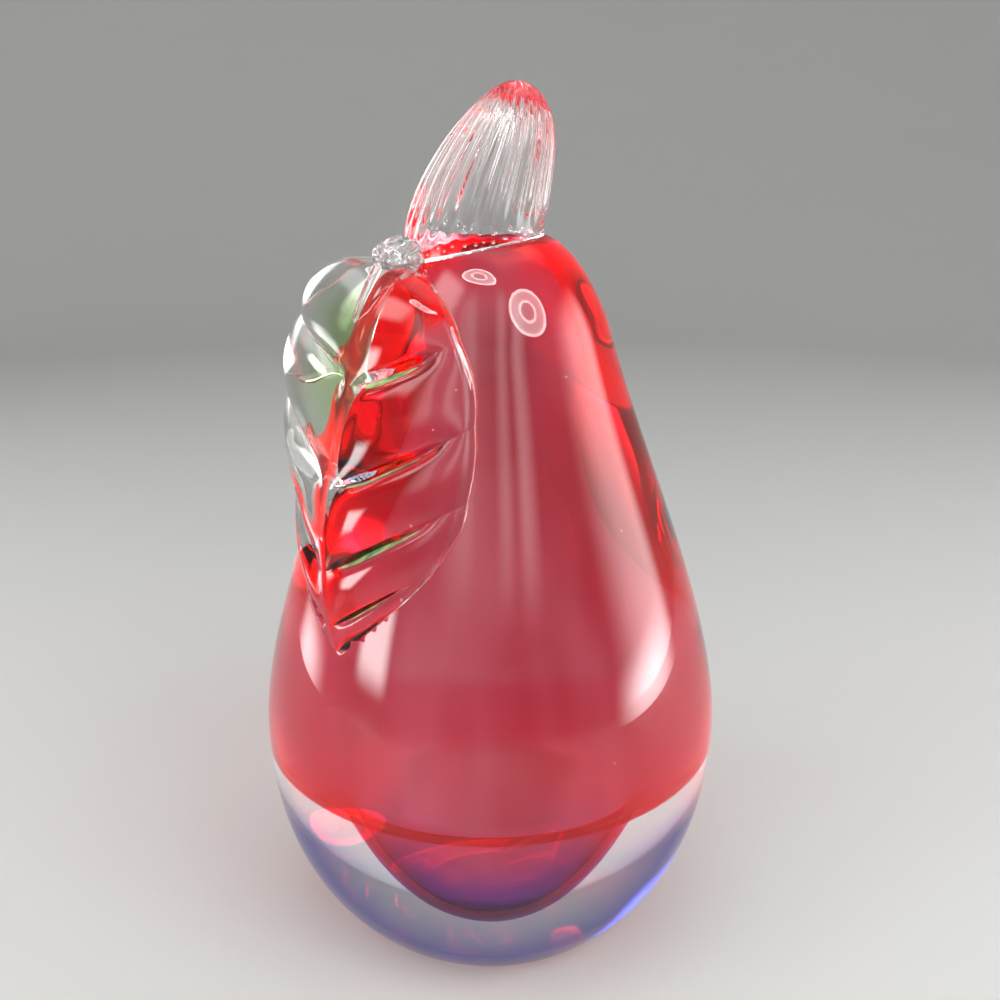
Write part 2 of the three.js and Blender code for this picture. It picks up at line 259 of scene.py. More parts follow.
# fused joint between two layers, which neither bends nor mirrors light
def makeFusedGlass(name, look):
    material, tree = newNodes(name)
    worked = addWorked(tree, Cord_Scale=look["cordScale"])
    shader = add(tree, "ShaderNodeBsdfPrincipled", Metallic=0.0, IOR=1.0, Roughness=0.0,
                 Transmission_Weight=1.0)
    start, end = look["cordSpread"]
    cords = add(tree, "ShaderNodeMapRange", From_Min=start, From_Max=end)
    tree.links.new(worked.outputs["Cords"], cords.inputs["Value"])
    tint = mixColours(tree, cords.outputs["Result"], look["tintA"], look["tintB"])
    # painted shade: above the given height the ruby is tinted deeper, darkening the upper body
    if "upperShadeA" in look:
        upperShade = mixColours(tree, cords.outputs["Result"], look["upperShadeA"], look["upperShadeB"])
        tint = mixColours(tree, heightMask(tree, *look["upperShadeHeight"]), tint, upperShade)
    # painted light: where the ruby is seen aslant it is tinted paler, brightening its flanks, which otherwise
    # see the shaded floor
    if "flankLightTint" in look:
        tint = mixColours(tree, edgeMask(tree, *look["flankLightRange"]), tint, look["flankLightTint"])
    if "lowTint" in look:
        edge, low = edgeMask(tree, *look["lowSlant"]), heightMask(tree, *look["lowHeight"])
        tint = mixColours(tree, linkMath(tree, "MULTIPLY", edge, low), tint, look["lowTint"])
    tree.links.new(tint, shader.inputs["Base Color"])
    result = finishGlass(tree, shader, look["shadow"])
    if "fill" in look:
        fill = add(tree, "ShaderNodeVolumeAbsorption", Color=(*look["fill"], 1), Density=look["density"])
        tree.links.new(fill.outputs["Volume"], result.inputs["Volume"])
    return material


clearLook = {
    "ior": 1.5, "clearness": 1.0, "tintA": (0.985, 0.99, 0.988), "tintB": (0.955, 0.97, 0.965),
    "gloss": 0.0, "dull": 0.035, "bump": 0.04, "waveScale": 60.0, "smudgeScale": 90.0,
    "shadow": (0.985, 0.985, 0.985),
}
casingLook = {**clearLook, "rimTint": (0.004, 0.008, 0.6), "rimSlant": (0.22, 0.74), "rimHeight": (34, 25)}
footLook = {**clearLook, "gloss": 0.3, "dull": 0.45}
stemLook = {**clearLook, "waveScale": 140.0, "bump": 0.06}
leafLook = {
    **clearLook, "waveScale": 170.0, "bump": 0.08, "tintA": (0.975, 0.985, 0.965),
    "tintB": (0.93, 0.96, 0.91), "toneTint": (0.42, 0.62, 0.25),
}
beadLook = {**clearLook, "clearness": 0.92, "waveScale": 260.0, "bump": 0.05}
fusedLook = {
    "tintA": (1.0, 1.0, 1.0), "tintB": (0.996, 0.998, 0.998), "cordScale": 220.0, "cordSpread": (0, 1),
    "shadow": (1.0, 1.0, 1.0),
}
rubyLook = {
    "tintA": (1.0, 0.66, 0.72), "tintB": (0.84, 0.2, 0.29), "cordScale": 70.0, "cordSpread": (0.34, 0.68),
    # painted shade: these two tints and their height make the ruby deeper above the belly, darkening the
    # upper body
    "upperShadeA": (0.86, 0.54, 0.6), "upperShadeB": (0.7, 0.15, 0.24), "upperShadeHeight": (36, 60),
    # painted light: this paler tint and its slant range lighten the ruby's flanks, which otherwise see the
    # shaded floor
    "flankLightTint": (1.0, 0.42, 0.52), "flankLightRange": (0.1, 0.26),
    "lowTint": (0.38, 0.26, 0.9), "lowSlant": (-0.2, 0.6), "lowHeight": (25, 13),
    "shadow": (1.0, 0.8, 0.84), "fill": (0.99, 0.3, 0.42), "density": 400.0,
}
blueLook = {
    "tintA": (0.995, 0.995, 1.0), "tintB": (0.99, 0.99, 1.0), "cordScale": 220.0, "cordSpread": (0, 1),
    "shadow": (0.98, 0.98, 1.0), "fill": (0.6, 0.66, 0.98), "density": 20.0,
}
# painted reflection: opaque green, dark to light, for the slivers that stand in for the green reflection in
# the leaf's slits
slitSheenLook = {
    "dark": (0.09, 0.16, 0.05), "light": (0.36, 0.5, 0.2), "cordScale": 500.0, "cordSpread": (0.35, 0.65),
    "ior": 1.5, "roughness": 0.2,
}
clearOpen = makeOpenGlass("clearGlass", casingLook)
footGlass = makeOpenGlass("groundFoot", footLook)
stemOpen = makeOpenGlass("stemGlass", stemLook)
leafOpen = makeOpenGlass("leafGlass", leafLook)
beadOpen = makeOpenGlass("beadGlass", beadLook)
fused = makeFusedGlass("fusedClear", fusedLook)
ruby = makeFusedGlass("rubyGlass", rubyLook)
blue = makeFusedGlass("blueGlass", blueLook)


# painted reflection: opaque green material for the slivers in the leaf's slits
def makeSlitSheen():
    material, tree = newNodes("slitSheenGreen")
    worked = addWorked(tree, Cord_Scale=slitSheenLook["cordScale"])
    shader = add(tree, "ShaderNodeBsdfPrincipled", Metallic=0.0, IOR=slitSheenLook["ior"],
                 Roughness=slitSheenLook["roughness"])
    start, end = slitSheenLook["cordSpread"]
    spread = add(tree, "ShaderNodeMapRange", From_Min=start, From_Max=end)
    tree.links.new(worked.outputs["Cords"], spread.inputs["Value"])
    tint = mixColours(tree, spread.outputs["Result"], slitSheenLook["dark"], slitSheenLook["light"])
    tree.links.new(tint, shader.inputs["Base Color"])
    result = tree.nodes.new("ShaderNodeOutputMaterial")
    tree.links.new(shader.outputs["BSDF"], result.inputs["Surface"])
    return material


slitSheenGreen = makeSlitSheen()
print("materials made")

# pear, in millimetres, with the pulls of its curves as shares of their spans
pear = {
    "footRadius": 21.6, "footLean": 37, "bellyRadius": 38.1, "bellyHeight": 37.5, "shoulderRadius": 19.1,
    "shoulderHeight": 102.8, "shoulderTaper": 0.28, "crownHeight": 117.8, "crownRadius": 7.0,
    "footPull": 0.33, "bellyPull": 0.48, "flankPull": 0.275, "domePull": 0.43, "crownPull": 0.42,
    "sides": 240, "spanSteps": 40, "waviness": 0.13, "waveSize": 19, "waveStretch": 0.25,
    "waveBetween": (2, 12, 105, 112),
}
layers = {
    "gap": 0.3, "outerWall": 3, "neckBore": 5.7, "neckPulls": (0.4, 0.5), "footThickness": 4,
    "blueWall": 1.8, "blueRimWall": 0.5, "blueRim": 29, "rubyWall": 1.2, "rubyFloor": 10.3,
    "bulbRadius": 16.2, "bulbHeight": 25, "bulbLean": 25, "bulbPulls": (0.46, 0.6),
    "rubyBellyDepth": 6, "rubyBellyDrop": 3, "rubyBellyPulls": (0.32, 0.58), "rubyShoulderDepth": 5.4,
    "rubyNeck": 3.6, "sides": 120, "spanSteps": 24,
}
upHeading, outHeading = Vector((0, 1)), Vector((1, 0))
taper = Vector((-pear["shoulderTaper"], 1)).normalized()


def leaning(degrees):
    return Vector((math.cos(math.radians(degrees)), math.sin(math.radians(degrees))))


# smooth spans from (point, heading in, pull in, heading out, pull out) stations
def spans(stations, steps):
    points = []
    for (start, _, _, leave, leavePull), (end, arrive, arrivePull, _, _) in zip(stations, stations[1:]):
        run = interpolate_bezier(start, start + leave * leavePull, end - arrive * arrivePull, end, steps + 1)
        points += run if not points else run[1:]
    return points


def pearOutline(steps):
    foot = Vector((pear["footRadius"], 0))
    belly = Vector((pear["bellyRadius"], pear["bellyHeight"]))
    shoulder = Vector((pear["shoulderRadius"], pear["shoulderHeight"]))
    crown = Vector((pear["crownRadius"], pear["crownHeight"]))
    flank = (pear["shoulderHeight"] - pear["bellyHeight"]) * pear["flankPull"]
    dome = (pear["crownHeight"] - pear["shoulderHeight"]) * pear["domePull"]
    closing = (pear["shoulderRadius"] - pear["crownRadius"]) * pear["crownPull"]
    return spans([
        (foot, None, 0, leaning(pear["footLean"]), pear["bellyHeight"] * pear["footPull"]),
        (belly, upHeading, pear["bellyHeight"] * pear["bellyPull"], upHeading, flank),
        (shoulder, taper, flank, taper, dome),
        (crown, -outHeading, closing, None, 0),
    ], steps)


def rubyOutline(steps):
    bellyRadius = pear["bellyRadius"] - layers["rubyBellyDepth"]
    belly = Vector((bellyRadius, pear["bellyHeight"] - layers["rubyBellyDrop"]))
    shoulder = Vector((pear["shoulderRadius"] - layers["rubyShoulderDepth"], pear["shoulderHeight"]))
    bulb = Vector((layers["bulbRadius"], layers["bulbHeight"]))
    flare = leaning(90 - layers["bulbLean"])
    flank = (shoulder.y - belly.y) * pear["flankPull"]
    swell = belly.y - bulb.y
    rise = pear["crownHeight"] - shoulder.y
    floorPull, bulbPull = layers["bulbPulls"]
    leavePull, arrivePull = layers["rubyBellyPulls"]
    neckLeave, neckArrive = layers["neckPulls"]
    return spans([
        (Vector((0, layers["rubyFloor"])), None, 0, outHeading, bulb.x * floorPull),
        (bulb, flare, (bulb.y - layers["rubyFloor"]) * bulbPull, flare, swell * leavePull),
        (belly, upHeading, swell * arrivePull, upHeading, flank),
        (shoulder, taper, flank, taper, rise * neckLeave),
        (Vector((layers["rubyNeck"], pear["crownHeight"])), upHeading, rise * neckArrive, None, 0),
    ], steps)


# moves an outline towards its inside
def inset(outline, depthAt):
    moved = []
    for i, point in enumerate(outline):
        along = (outline[min(i + 1, len(outline) - 1)] - outline[max(i - 1, 0)]).normalized()
        place = point + Vector((-along.y, along.x)) * depthAt(point.y)
        place.x = 0 if point.x == 0 else place.x
        place.y = point.y if i == len(outline) - 1 else place.y
        moved.append(place)
    return moved


def partAt(outline, height):
    i = max(1, next(k for k, point in enumerate(outline) if point.y > height))
    low, high = outline[i - 1], outline[i]
    cut = low.lerp(high, (height - low.y) / (high.y - low.y))
    return outline[:i] + [cut], [cut] + outline[i:]


def boreOutline(steps):
    wall = inset(pearOutline(steps), lambda h: layers["outerWall"])
    wall = [p for p in wall if p.y <= pear["shoulderHeight"]]
    rise = pear["crownHeight"] - wall[-1].y
    leavePull, arrivePull = layers["neckPulls"]
    neck = spans([
        (wall[-1], None, 0, taper, rise * leavePull),
        (Vector((layers["neckBore"], pear["crownHeight"])), upHeading, rise * arrivePull, None, 0),
    ], steps)
    return [Vector((0, layers["footThickness"]))] + partAt(wall, layers["footThickness"])[1] + neck[1:]


def easing(value, low, high):
    share = np.clip((value - low) / (high - low), 0, 1)
    return share * share * (3 - 2 * share)


# rises from 0 to 1 between the first two values and falls back between the last two
def hump(value, start, full, fading, gone):
    return easing(value, start, full) * (1 - easing(value, fading, gone))


def blueThickness(height):
    share = easing(height, layers["footThickness"], layers["blueRim"])
    return layers["blueWall"] + (layers["blueRimWall"] - layers["blueWall"]) * share


skin = pearOutline(pear["spanSteps"])
bore = boreOutline(layers["spanSteps"])
rubySide = rubyOutline(layers["spanSteps"])

# the pear's side from the crown down, for what lies on it
slope = np.array([tuple(p) for p in reversed(skin)])
walked = np.concatenate([[0], np.cumsum(np.hypot(*np.diff(slope, axis=0).T))])
heading = np.gradient(slope, walked, axis=0)
heading /= np.hypot(heading[:, 0], heading[:, 1])[:, None]


def radiusAt(walk):
    return np.interp(walk, walked, slope[:, 0])


def onPear(walk, azimuth, off):
    radius = radiusAt(walk) - np.interp(walk, walked, heading[:, 1]) * off
    height = np.interp(walk, walked, slope[:, 1]) + np.interp(walk, walked, heading[:, 0]) * off
    return np.stack([-radius * np.sin(azimuth), -radius * np.cos(azimuth), height], axis=-1)


def pearTop(radius):
    return np.interp(radius, slope[:, 0], slope[:, 1])


# ribbed stem
stem = {
    "radius": 10.7, "rootFlare": 0.6, "rootShift": -2.8, "tipShift": 4, "height": 22.2, "blunt": 1.08,
    "ribs": 26, "ribDepth": 0.5, "ribsBetween": (0.04, 0.28, 0.62, 1), "pocket": 4.8, "openRim": 0.7,
    "gap": 0.06, "around": 384, "underRings": 24, "rings": 90,
}


def stemPoints():
    around = 2 * np.pi * np.arange(stem["around"]) / stem["around"]
    ring = np.arange(stem["underRings"] + stem["rings"] + 1)[:, None]
    spread = np.minimum(ring / stem["underRings"], 1)
    climb = np.maximum(0, (ring - stem["underRings"]) / stem["rings"]) * np.pi / 2
    share = np.sin(climb) ** stem["blunt"]
    flare = (1 - share) ** 4
    fade = hump(share, *stem["ribsBetween"])
    ribbed = stem["radius"] + 0.5 * stem["ribDepth"] * np.cos(stem["ribs"] * around) * fade
    radius = spread * (ribbed * np.cos(climb) + stem["rootFlare"] * flare)
    lean = 0.5 * (share + share * share * (3 - 2 * share))
    shift = stem["rootShift"] + (stem["tipShift"] - stem["rootShift"]) * lean
    x, y = shift + radius * np.cos(around), radius * np.sin(around)
    rootRadius = stem["radius"] + stem["rootFlare"]
    rootX = stem["rootShift"] + rootRadius * np.cos(around)
    rootY = rootRadius * np.sin(around)
    seatTop = pear["crownHeight"] + stem["gap"]
    rootSeat = pearTop(np.hypot(rootX, rootY)) + stem["gap"]
    rise = pear["crownHeight"] + stem["height"] - seatTop
    level = seatTop + rise * share - (seatTop - rootSeat) * flare
    seat = pearTop(np.hypot(x, y)) + stem["gap"]
    z = np.where(ring <= stem["underRings"], seat, level)
    return np.stack(np.broadcast_arrays(x, y, z), axis=-1)


def stemReach(azimuth):
    return stem["radius"] + stem["rootFlare"] + stem["ribDepth"] / 2 - stem["rootShift"] * math.sin(azimuth)


# True where the stem is fused to the pear, which is all round a pocket of air in the joint
def underStem(x, y):
    edge = stem["radius"] + stem["rootFlare"] - stem["openRim"]
    return stem["pocket"] < math.hypot(x - stem["rootShift"], y) < edge


# pressed leaf, its front half on the pear and its back half standing off
leaf = {
    "azimuth": 53, "length": 58, "frontReach": 20, "frontWidestAt": 33, "backReach": 19, "backWidestAt": 27,
    "rootPull": 0.3, "widestPulls": (0.67, 0.43), "tipPull": 0.6, "edgeSteps": 60,
    "tipLean": 50, "tipSweep": 8, "midThickness": 5.4, "frontEdge": 2.4, "backEdge": 4.2,
    "tipThinning": 0.45, "tipThinsFrom": 0.55,
    "lift": 9, "liftBetween": (-0.15, 0.2, 0.3, 0.8), "liftFrom": 0.1,
    "lobes": 5, "lobeHeight": 1.5, "lobeSlope": 0.68, "lobeBias": 0.85, "lobeLevel": 0.6, "ribWidth": 0.25,
    "backScallop": 0.13, "frontScallop": 0.015, "backRim": 2, "frontRimFades": (0.72, 0.95),
    "dome": 0.6, "crease": 0.6, "slitDepth": 1.9, "slitAbove": 0.035, "slitBelow": 0.1,
    "slitBetween": (0.08, 0.3, 0.6, 0.85), "greenAcross": (-0.25, 0.15, 0.3, 0.7),
    "greenAlong": (0.03, 0.12, 0.2, 0.42), "gap": 0.06, "bondWidth": 0.9, "bondLift": 0.02,
    "bondRows": (0.03, 0.97), "seatRows": (0.03, 0.99), "seatLowest": 30, "around": 160, "lobeRows": 60,
}


def leafEdge(reach, widestAt):
    rest = leaf["length"] - widestAt
    arrivePull, leavePull = leaf["widestPulls"]
    points = spans([
        (Vector((0, 0)), None, 0, upHeading, reach * leaf["rootPull"]),
        (Vector((widestAt, reach)), outHeading, widestAt * arrivePull, outHeading, rest * leavePull),
        (Vector((leaf["length"], 0)), leaning(-leaf["tipLean"]), reach * leaf["tipPull"], None, 0),
    ], leaf["edgeSteps"])
    return np.array([tuple(p) for p in points])


leafFront = leafEdge(leaf["frontReach"], leaf["frontWidestAt"])
leafBack = leafEdge(leaf["backReach"], leaf["backWidestAt"])
leafMiddle = math.radians(leaf["azimuth"])
leafStart = float(np.interp(stemReach(leafMiddle) + layers["gap"], slope[:, 0], walked))


# length of a row that climbs from the midrib to the edge, found by halving
def rowReach(edge, length):
    inside, outside = np.zeros_like(length), np.full_like(length, leaf["length"])
    for _ in range(30):
        middle = (inside + outside) / 2
        start = length - leaf["lobeSlope"] * middle
        holds = np.interp(start, edge[:, 0], edge[:, 1], left=0, right=0) > middle
        inside, outside = np.where(holds, middle, inside), np.where(holds, outside, middle)
    return inside


def leafLiftAt(along, across, endRound):
    return leaf["lift"] * hump(along, *leaf["liftBetween"]) * easing(across, leaf["liftFrom"], 1) * endRound


# points of the leaf's skin, v down the leaf and turn round its section, raised by extra
def leafSkin(v, turn, extra=0):
    across = np.cos(turn) + 0 * v
    fromRib = np.abs(across)
    back = across > 0
    share = (1 + leaf["lobeBias"]) * v - leaf["lobeBias"] * v * v
    length = share * leaf["length"]
    phase = leaf["lobes"] * v
    lobe = np.abs(np.sin(np.pi * phase)) ** leaf["crease"] - leaf["lobeLevel"]
    scallop = np.where(back, leaf["backScallop"], leaf["frontScallop"])
    reach = np.where(back, rowReach(leafBack, length), rowReach(leafFront, length)) * (1 + scallop * lobe)
    side = across * reach
    walk = leafStart + length - leaf["lobeSlope"] * np.abs(side)
    along = np.clip((walk - leafStart) / leaf["length"], 0, 1)
    azimuth = leafMiddle + (side - leaf["tipSweep"] * along ** 3) / radiusAt(walk)
    endRound = np.sqrt(np.maximum(0, 1 - (2 * share - 1) ** 6))
    rim = np.where(back, leaf["backRim"], 1 - easing(fromRib, *leaf["frontRimFades"]))
    relief = leaf["lobeHeight"] * lobe * easing(fromRib, 0, leaf["ribWidth"]) * rim
    edge = np.where(back, leaf["backEdge"], leaf["frontEdge"])
    thickness = leaf["midThickness"] + (edge - leaf["midThickness"]) * fromRib + relief
    thin = 1 - leaf["tipThinning"] * easing(share, leaf["tipThinsFrom"], 1)
    offCrease = phase - np.clip(np.round(phase), 1, leaf["lobes"] - 1)
    width = np.where(offCrease < 0, leaf["slitAbove"], leaf["slitBelow"])
    slit = np.exp(-(offCrease / width) ** 2) * hump(-across, *leaf["slitBetween"])
    section = np.maximum(0, np.sin(turn)) ** leaf["dome"] * endRound
    body = (thickness - leaf["slitDepth"] * slit) * thin * section
    lift = leafLiftAt(along, across, endRound)
    first, last = leaf["bondRows"]
    under = (np.sin(turn) < -1e-6) & (fromRib < leaf["bondWidth"])
    bonded = under & (lift < leaf["bondLift"]) & (v > first) & (v < last)
    return onPear(walk, azimuth, leaf["gap"] + lift + body + extra), bonded


def leafPoints():
    v = np.linspace(0, 1, leaf["lobes"] * leaf["lobeRows"] + 1)[:, None]
    turn = -2 * np.pi * np.arange(leaf["around"]) / leaf["around"]
    points, bonded = leafSkin(v, turn)
    green = hump(np.cos(turn), *leaf["greenAcross"]) * hump(v, *leaf["greenAlong"])
    return points, bonded, green


# True where the leaf is fused to the pear
def underLeaf(place):
    x, y, z = place
    if z < leaf["seatLowest"]:
        return False
    azimuth = math.atan2(-x, -y)
    radius = math.hypot(x, y)
    walk = float(np.interp(-z, -slope[:, 1], walked)) if z < pear["crownHeight"] else 0.0
    along = min(1, max(0, (walk - leafStart) / leaf["length"]))
    side = (azimuth - leafMiddle) * radius + leaf["tipSweep"] * along ** 3
    length = walk - leafStart + leaf["lobeSlope"] * abs(side)
    share = length / leaf["length"]
    first, last = leaf["seatRows"]
    if not first < share < last:
        return False
    reach = float(rowReach(leafBack if side > 0 else leafFront, np.array(length)))
    across = side / max(reach, 1e-6)
    endRound = math.sqrt(max(0, 1 - (2 * share - 1) ** 6))
    return abs(across) < leaf["bondWidth"] and leafLiftAt(along, across, endRound) < leaf["bondLift"]


# a wave on the casing's skin, always inwards
def waveSkin(verts):
    lowest = pear["waveBetween"][0]
    for vert in verts:
        if vert.co.z > lowest * mm:
            across = Vector((vert.co.x, vert.co.y, vert.co.z * pear["waveStretch"])) / (pear["waveSize"] * mm)
            wave = noise.noise(across) - 1
            flat = Vector((vert.co.x, vert.co.y, 0)).normalized()
            fade = hump(vert.co.z / mm, *pear["waveBetween"])
            vert.co += flat * wave * 0.5 * pear["waviness"] * fade * mm


# clear outer casing, open outside and fused inside and under the stem and leaf
def makeOuterCasing():
    outline = [Vector((0, 0))] + skin + list(reversed(bore))
    bm = turned(outline, pear["sides"], lambda strip: 2 if strip == 0 else 0 if strip <= len(skin) - 1 else 1)
    waveSkin({vert for face in bm.faces if face.material_index == 0 for vert in face.verts})
    for face in bm.faces:
        if face.material_index == 0:
            place = face.calc_center_median() / mm
            high = place.z > pear["shoulderHeight"] and underStem(place.x, place.y)
            if high or underLeaf(place):
                face.material_index = 1
    return addPiece("pearCasing", bm, [clearOpen, fused, footGlass])


def makeLayer(name, outside, inside, material):
    bm = turned(outside + list(reversed(inside)), layers["sides"], lambda strip: 0)
    return addPiece(name, bm, [material])


pieces = {}
pieces["outer_casing"] = makeOuterCasing()
gap = layers["gap"]
cupOutside = partAt(inset(bore, lambda h: gap), layers["blueRim"])[0]
cupInside = partAt(inset(bore, lambda h: gap + blueThickness(h)), layers["blueRim"])[0]
pieces["blue_cup"] = makeLayer("blueCase", cupOutside, cupInside, blue)
ledge = layers["blueRim"] + gap
overCup = partAt(inset(bore, lambda h: gap + blueThickness(h) + gap), ledge)[0]
overWall = partAt(inset(bore, lambda h: gap), ledge)[1]
aroundRuby = inset(rubySide, lambda h: -gap)
pieces["inner_casing"] = makeLayer("innerGather", overCup + overWall, aroundRuby, fused)
rubyInside = inset(rubySide, lambda h: layers["rubyWall"])
pieces["ruby_layer"] = makeLayer("rubyCase", rubySide, rubyInside, ruby)
heartSide = inset(rubySide, lambda h: layers["rubyWall"] + gap)
pieces["clear_heart"] = makeLayer("heartGather", heartSide, [Vector((0, pear["crownHeight"]))], fused)
print("pear layers made")

pocketRings = round(stem["underRings"] * stem["pocket"] / (stem["radius"] + stem["rootFlare"]))
bondRings = range(pocketRings, stem["underRings"] - 1)
stemBm = skinned(stemPoints(), lambda ring, side: 1 if ring in bondRings else 0)
pieces["stem"] = addPiece("ribbedStem", stemBm, [stemOpen, fused])
leafGrid, leafBond, leafGreen = leafPoints()
leafBm = skinned(leafGrid, lambda ring, side: 1 if leafBond[ring][side] else 0, leafGreen)
pieces["leaf"] = addPiece("pressedLeaf", leafBm, [leafOpen, fused])
print("stem and leaf made")

# painted reflection: opaque green slivers lie in the leaf's slits in place of the green reflection seen
# there, as (crease, from, to, half width in lobes)
sheenSlivers = {
    "slits": ((1, 0.16, 0.62, 0.05), (2, 0.14, 0.66, 0.03), (3, 0.14, 0.7, 0.055), (4, 0.2, 0.6, 0.03)),
    "below": 0.035, "thickness": 0.1, "rise": 0.12, "thick": 1.15, "thinning": 0.5, "steps": 28, "around": 12,
}


def makeSheenSlivers():
    bm = bmesh.new()
    for crease, start, end, halfWidth in sheenSlivers["slits"]:
        t = np.linspace(0, 1, sheenSlivers["steps"] + 1)[:, None]
        loop = 2 * np.pi * np.arange(sheenSlivers["around"]) / sheenSlivers["around"]
        lens = np.sqrt(np.maximum(0, 1 - (2 * t - 1) ** 2)) * (sheenSlivers["thick"] - sheenSlivers["thinning"] * t)
        turn = np.arccos(-(start + (end - start) * t)) + 0 * loop
        v = (crease + sheenSlivers["below"] + halfWidth * lens * np.cos(loop)) / leaf["lobes"]
        points, _ = leafSkin(v, turn, sheenSlivers["rise"] + sheenSlivers["thickness"] * lens * np.sin(loop))
        part = skinned(points, lambda row, side: 0)
        mesh = bpy.data.meshes.new("sheenSliverPart")
        part.to_mesh(mesh)
        part.free()
        bm.from_mesh(mesh)
        bpy.data.meshes.remove(mesh)
    piece = addPiece("slitSheenSlivers", bm, [slitSheenGreen])
    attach(piece, "root")


# bead that seals the leaf to the stem
bead = {
    "azimuth": 62, "halfWidth": 4.2, "halfHeight": 3.3, "rise": 3.4, "standOff": 1.2, "gap": 0.08,
    "wrinkle": 0.35, "foldScale": (1.3, 1.3, 1.9), "foldStart": (3, 1, 7), "subdivisions": 6,
}


def keepClear(bm, others, gapWidth):
    for other in others:
        tree = BVHTree.FromObject(other, bpy.context.evaluated_depsgraph_get())
        for vert in bm.verts:
            place, normal, _, _ = tree.find_nearest(vert.co)
            if (vert.co - place).dot(normal) < gapWidth * mm:
                vert.co = place + normal * gapWidth * mm


def makeBead():
    azimuth = math.radians(bead["azimuth"])
    radius = stemReach(azimuth) + bead["standOff"]
    height = pearTop(radius) + bead["rise"]
    centre = Vector((-radius * math.sin(azimuth), -radius * math.cos(azimuth), height))
    halves = (bead["halfWidth"], bead["halfWidth"], bead["halfHeight"])
    bm = bmesh.new()
    bmesh.ops.create_icosphere(bm, subdivisions=bead["subdivisions"], radius=1)
    for vert in bm.verts:
        spread = Vector([part * scale for part, scale in zip(vert.co, bead["foldScale"])])
        swell = 1 - bead["wrinkle"] * abs(noise.noise(spread + Vector(bead["foldStart"])))
        scaled = Vector([part * half for part, half in zip(vert.co, halves)])
        vert.co = (centre + scaled * swell) * mm
    keepClear(bm, [pieces["outer_casing"], pieces["stem"], pieces["leaf"]], bead["gap"])
    for face in bm.faces:
        face.smooth = True
    return addPiece("sealBead", bm, [beadOpen])


# thread of glass drawn off the bead, lying on the leaf
tail = {
    "azimuth": 50, "turn": 0.1, "length": 8, "radius": 0.75, "start": 1.5, "height": 6.2, "fall": 0.6,
    "lean": 0.8, "blunt": 8, "thick": 1.1, "thinning": 0.5, "steps": 40, "around": 16,
}


def makeTail():
    azimuth = math.radians(tail["azimuth"])
    top = float(np.interp(stemReach(azimuth) + tail["start"], slope[:, 0], walked))
    outward = np.array([-math.sin(azimuth), -math.cos(azimuth), tail["lean"]])
    outward /= np.linalg.norm(outward)
    sideways = np.array([math.cos(azimuth), -math.sin(azimuth), 0])
    angles = [2 * math.pi * k / tail["around"] for k in range(tail["around"])]
    rings = []
    for step in range(tail["steps"] + 1):
        t = step / tail["steps"]
        walk = top + tail["length"] * t
        centre = onPear(walk, azimuth + tail["turn"] * t, tail["height"] - tail["fall"] * t)
        rounding = math.sqrt(max(0, 1 - (2 * t - 1) ** tail["blunt"]))
        width = tail["radius"] * rounding * (tail["thick"] - tail["thinning"] * t)
        rings.append([centre + width * (math.cos(a) * outward + math.sin(a) * sideways) for a in angles])
    bm = skinned(np.array(rings), lambda row, side: 0)
    piece = addPiece("beadTail", bm, [beadOpen])
    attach(piece, "root")


# small bubbles, in the casing and in the joint under the stem
bubbles = {
    "seed": 11, "body": 46, "joint": 70, "small": 0.1, "large": 0.3, "bodyLarge": 0.7, "walks": (18, 105),
    "depths": (0.8, 2.4), "jitter": 0.05, "nearest": 0.6, "rimDepth": 1.6, "innerDepth": 7, "clear": 0.1,
    "subdivisions": 2,
}


def makeBubbles(name, places):
    bm = bmesh.new()
    for place, size in places:
        ball = bmesh.ops.create_icosphere(bm, subdivisions=bubbles["subdivisions"], radius=size * mm)
        bmesh.ops.translate(bm, verts=ball["verts"], vec=Vector(place) * mm)
    for face in bm.faces:
        face.smooth = True
    piece = addPiece(name, bm, [beadOpen])
    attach(piece, "root")


def bubblePlaces():
    chance = random.Random(bubbles["seed"])
    body, joint = [], []
    for _ in range(bubbles["body"]):
        walk = chance.uniform(*bubbles["walks"])
        depth = -chance.uniform(*bubbles["depths"])
        size = chance.uniform(bubbles["small"], bubbles["large"] * bubbles["bodyLarge"])
        body.append((onPear(walk, chance.uniform(0, 2 * math.pi), depth), size))
    for k in range(bubbles["joint"]):
        angle = 2 * math.pi * k / bubbles["joint"] + chance.uniform(-bubbles["jitter"], bubbles["jitter"])
        deepest = bubbles["rimDepth"] if k % 3 else bubbles["innerDepth"]  # every third may lie further in
        radius = stem["radius"] + stem["rootFlare"] - chance.uniform(bubbles["nearest"], deepest)
        x, y = stem["rootShift"] + radius * math.cos(angle), radius * math.sin(angle)
        size = chance.uniform(bubbles["small"], bubbles["large"])
        height = pearTop(math.hypot(x, y)) + stem["gap"] + size + bubbles["clear"]
        joint.append(((x, y, height), size))
    return body, joint


bpy.context.view_layer.update()
pieces["leaf_bead"] = makeBead()
makeTail()
makeSheenSlivers()
bodySeeds, jointSeeds = bubblePlaces()
makeBubbles("bodySeeds", bodySeeds)
makeBubbles("jointSeeds", jointSeeds)
print("bead, veins and bubbles made")

for node, piece in pieces.items():
    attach(piece, "root")
    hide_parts(node)

# studio: a pale sweep all round in millimetres, soft lamps and a quiet sky
studio = {
    "floor": (0.47, 0.47, 0.46), "floorGrain": 0.97, "floorRadius": 600, "floorLevel": -0.05, "cove": 400,
    "coveSteps": 16, "wall": 120, "sides": 96, "skyLow": 0.34, "skyHigh": 0.4, "lampAim": 0.075,
}


